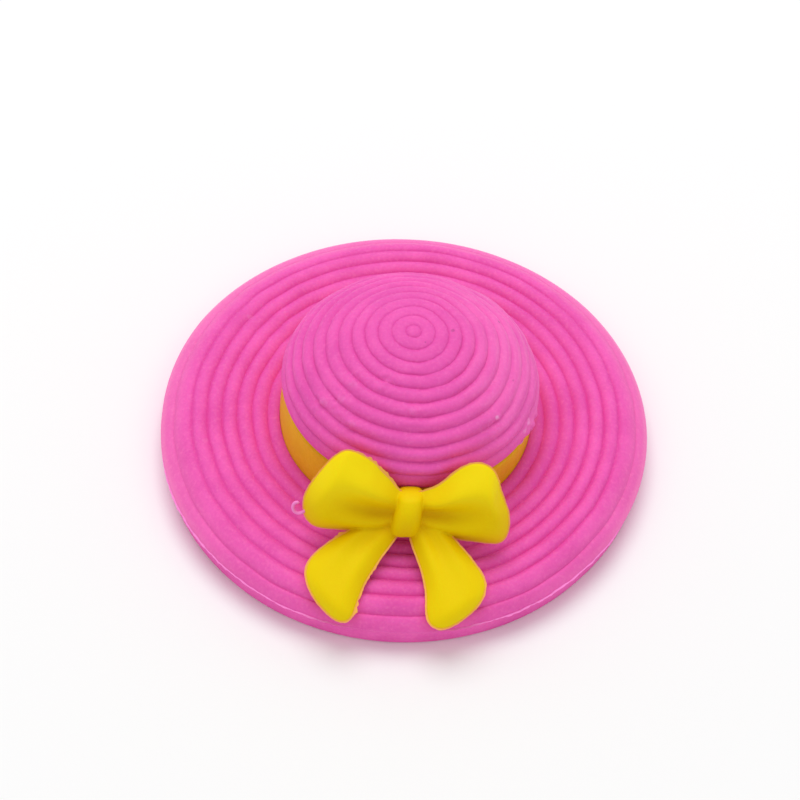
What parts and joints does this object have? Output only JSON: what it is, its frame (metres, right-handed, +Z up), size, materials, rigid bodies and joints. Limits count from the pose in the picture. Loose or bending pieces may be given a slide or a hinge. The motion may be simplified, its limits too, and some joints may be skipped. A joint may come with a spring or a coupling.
{
  "type": "sun hat eraser",
  "caption": "Take-apart rubber eraser shaped like a sun hat: ribbed brim, ribbed crown on a plug, ribbon band and plug-in bow.",
  "frame": {"origin": "middle of the brim's flat underside, on the axis of the crown, band and brim", "axes": "+Z up along the crown's axis, -Y towards the bow, +X to the right as seen from the bow's side"},
  "size_m": [0.048, 0.0488, 0.0184],
  "materials": {
    "pink_rubber": "matte, slightly waxy moulded eraser rubber",
    "rose_rubber": "matte, slightly waxy moulded eraser rubber with rubbed spots",
    "amber_rubber": "smooth matte moulded eraser rubber",
    "lemon_rubber": "smooth satin moulded eraser rubber"
  },
  "bodies": {
    "brim": {"brim": "pink_rubber"},
    "ribbon_band": {"ribbon_band": "amber_rubber"},
    "crown": {"crown": "rose_rubber"},
    "bow": {"bow": "lemon_rubber"}
  },
  "joints": [
    {"name": "band_lift", "type": "slide", "parent": "brim", "child": "ribbon_band", "axis": [0, 0, 1], "range_m": [0, 0.012]},
    {"name": "crown_pull", "type": "slide", "parent": "ribbon_band", "child": "crown", "axis": [0, 0, 1], "range_m": [0, 0.012]},
    {"name": "bow_pull", "type": "slide", "parent": "ribbon_band", "child": "bow", "axis": [0, -1, 0], "range_m": [0, 0.006]}
  ]
}
